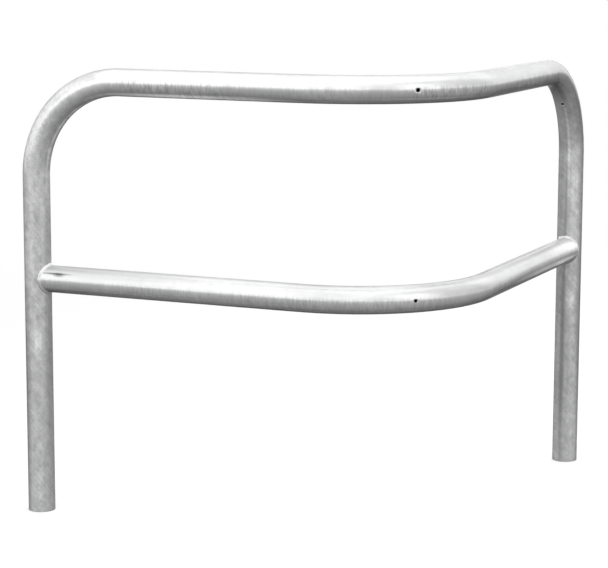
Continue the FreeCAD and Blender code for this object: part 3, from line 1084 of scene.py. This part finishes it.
def zinc_on_weld(name):
    """Bright, smooth zinc for the beads, with a painted highlight and a painted light and shade by facing.
    """
    material, tree, shader = new_material(name)
    place = tree.nodes.new("ShaderNodeTexCoord").outputs["Object"]
    lumps = stretched_noise(tree, place, (LUMPS_PER_METRE,) * 3)
    grain = stretched_noise(tree, place, (WELD_GRAIN_PER_METRE,) * 3, detail=2.0)
    # Painted light and shade by facing, with a painted highlight on top.
    brightness = painted_light_and_shade_by_facing(tree, attribute(tree, "underside", "Fac"), WELD_PAINTED_LIGHT_AND_SHADE)
    brightness = swung(tree, brightness, lumps, LUMP_SWING)
    brightness = swung(tree, brightness, grain, WELD_GRAIN_SWING)
    tree.links.new(tinted(tree, brightness, WELD_GREY), shader.inputs["Base Color"])
    tree.links.new(ranged(tree, lumps, *NOISE_SPAN, *WELD_ROUGHNESS), shader.inputs["Roughness"])
    shader.inputs["Metallic"].default_value = METAL_SHARE
    shader.inputs["Specular IOR Level"].default_value = DULL_GLOSS
    add_relief(tree, shader, lumps, WELD_BUMP, WELD_RELIEF_DEPTH)
    return material


weld_zinc = zinc_on_weld("galvanised weld zinc")
for piece in (left_weld, right_weld):
    piece.data.materials.append(weld_zinc)
print(weld_zinc.name, "has", len(weld_zinc.node_tree.nodes), "nodes")

# %% [markdown]
# Tie the pieces to the CAD
#
# Nothing moves on this hoop, so every piece rides on the one body. Each stands for a node of the
# CAD, which stays in the model for collisions and isn't shown. The CAD's own meshes could be
# shown with the zinc on them, but they lack the attributes that it reads.

# %% Ride and replace
dressed = [
    (hoop_tube, "hoop_tube", "galvanised_tube"),
    (crossbar, "crossbar", "galvanised_tube"),
    (left_weld, "left_weld", "galvanised_weld"),
    (right_weld, "right_weld", "galvanised_weld"),
]
for piece, node, slot in dressed:
    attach(piece, "root")
    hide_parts(node)
print("dressed", len(dressed), "nodes")

# %% [markdown]
# Floor and background
#
# The hoop stands on a plain pale floor that takes its shadow. Far from the hoop the floor fades
# to pure white, so that it has no horizon. A curved backdrop would hide the horizon too, but only
# from one side, and the hoop is looked at from all of them.
#
# What a camera or a reflection sees is this white floor. Light that bounces softly off it is held
# low, as it would be from a floor in a large studio, so that the undersides of the tubes stay
# darker than their tops. Light Path tells the two kinds of sight apart.

# %% Helpers for the floor and the world
def direct_sight(tree):
    """1 for what a camera, a reflection or clear glass sees, 0 for soft bounced light."""
    path = tree.nodes.new("ShaderNodeLightPath")
    seen = math_node(tree, "MAXIMUM", path.outputs["Is Camera Ray"], path.outputs["Is Glossy Ray"])
    return math_node(tree, "MAXIMUM", seen, path.outputs["Is Transmission Ray"])


def mixed(tree, share, first, second):
    """The first shader where share is 0 and the second where it is 1."""
    node = tree.nodes.new("ShaderNodeMixShader")
    for value, socket in zip((share, first, second), node.inputs):
        tree.links.new(value, socket)
    return node.outputs[0]


def diffuse(tree, value):
    """A plain matt grey."""
    node = tree.nodes.new("ShaderNodeBsdfDiffuse")
    node.inputs["Color"].default_value = (value, value, value, 1)
    return node.outputs[0]


def glow(tree, strength):
    """A plain white light of its own."""
    node = tree.nodes.new("ShaderNodeEmission")
    node.inputs["Strength"].default_value = strength
    return node.outputs[0]


# %% Floor
FLOOR_SIZE = 60.0
FLOOR_SQUARES = 8
FLOOR_GREY = 0.5
FLOOR_GLOW = 0.6
WHITE = 1.0
BOUNCE_GREY = 0.2
FADE_DISTANCES = (1.2, 3.5)


def pale_floor():
    """Matt where the shadow falls, white further out, and a darker grey for bounced light."""
    material, tree, shader = new_material("pale studio floor")
    tree.nodes.remove(shader)
    place = tree.nodes.new("ShaderNodeTexCoord").outputs["Object"]
    far = ranged(tree, length_of(tree, place), *FADE_DISTANCES)
    lit = tree.nodes.new("ShaderNodeAddShader")
    tree.links.new(diffuse(tree, FLOOR_GREY), lit.inputs[0])
    tree.links.new(glow(tree, FLOOR_GLOW), lit.inputs[1])
    seen_floor = mixed(tree, far, lit.outputs[0], glow(tree, WHITE))
    surface = mixed(tree, direct_sight(tree), diffuse(tree, BOUNCE_GREY), seen_floor)
    tree.links.new(surface, tree.nodes["Material Output"].inputs["Surface"])
    return material


floor_grid = bmesh.new()
bmesh.ops.create_grid(floor_grid, x_segments=FLOOR_SQUARES, y_segments=FLOOR_SQUARES, size=FLOOR_SIZE / 2)
floor = new_piece("studio_floor", floor_grid)
floor.data.materials.append(pale_floor())
print("floor:", tuple(round(v, 1) for v in floor.dimensions), "metres")

# %% World
WORLD_FILL = 0.12
world = bpy.data.worlds.new("studio")
scene.world = world
world.use_nodes = True
background = world.node_tree.nodes["Background"]
background.inputs["Color"].default_value = (1, 1, 1, 1)
world_light = ranged(world.node_tree, direct_sight(world.node_tree), 0, 1, WORLD_FILL, WHITE)
world.node_tree.links.new(world_light, background.inputs["Strength"])
print("world: strength", WHITE, "in direct sight and", WORLD_FILL, "as soft light")

# %% [markdown]
# Soft studio light
#
# Tube is read by its reflections, so the lamps are large soft boxes rather than points or a sun.
# The overhead box makes the broad white band along the top of each rail, and its edge the soft
# border below that band. Four panels stand round the hoop at about 5 metres and lean towards it.
# The left leg panel and the front panel light the near side of the left leg and of the posts. The
# corner panel lights the outside of the corner bends and of the right leg. The right leg panel
# stands behind and is the brightest. It grazes the right leg and lights the back of the hoop.

# %% Soft boxes
PANEL_AIM = (0, 0, 0.9)


def soft_box(name, centre, aim, width, height, brightness):
    """A rectangular area lamp whose surface has the given brightness (1 is white)."""
    lamp = bpy.data.lights.new(name, "AREA")
    lamp.shape = "RECTANGLE"
    lamp.size, lamp.size_y = width, height
    lamp.energy = brightness * math.pi * width * height
    box = bpy.data.objects.new(name, lamp)
    box.location = centre
    box.rotation_euler = (Vector(aim) - Vector(centre)).to_track_quat("-Z", "Y").to_euler()
    box.visible_camera = False
    scene.collection.objects.link(box)
    print(f"{name}: {width} x {height} metres, {lamp.energy:.0f} watts")


soft_box("overhead box", (0, -0.4, 3.8), (0, -0.2, 0), 5.0, 5.0, 1.42)
soft_box("left leg panel", (-1.9, -4.6, 2.45), PANEL_AIM, 3.2, 4.0, 1.74)
soft_box("front panel", (1.5, -4.8, 2.7), PANEL_AIM, 3.2, 3.5, 1.36)
soft_box("corner panel", (4.7, -1.9, 2.45), PANEL_AIM, 3.0, 4.0, 1.95)
soft_box("right leg panel", (1.0, 4.9, 2.45), PANEL_AIM, 4.8, 4.0, 2.4)

# %% [markdown]
# Camera
#
# A long lens from a little above the rail and to the right of the left leg, as in the photograph.
# Place, aim, roll and lens were fitted together to the outlines of the tubes. Turning the camera
# by eye comes close quickly, but a thin tube that is off by a few pixels shows at once. The lens
# is given in pixels of a picture 608 wide, and turned into millimetres.

# %% Camera
CAMERA_PLACE = Vector((1.97211, -4.52764, 1.2864))
CAMERA_AIM = Vector((-0.22394, 0.43607, 0.39817))
CAMERA_ROLL = 0.00282
FOCAL_PIXELS = 2139.55
PICTURE_WIDTH = 608
SENSOR = 36.0
FARTHEST_SIGHT = 200
camera = bpy.data.objects.new("camera", bpy.data.cameras.new("camera"))
scene.collection.objects.link(camera)
camera.data.sensor_fit = "HORIZONTAL"
camera.data.sensor_width = SENSOR
camera.data.lens = FOCAL_PIXELS * SENSOR / PICTURE_WIDTH
camera.data.clip_end = FARTHEST_SIGHT
camera.location = CAMERA_PLACE
level_view = (CAMERA_AIM - CAMERA_PLACE).to_track_quat("-Z", "Y")
camera.rotation_euler = (level_view @ Quaternion((0, 0, 1), CAMERA_ROLL)).to_euler()
scene.camera = camera
print("lens:", round(camera.data.lens, 2), "mm")

scene.view_settings.view_transform = "Standard"
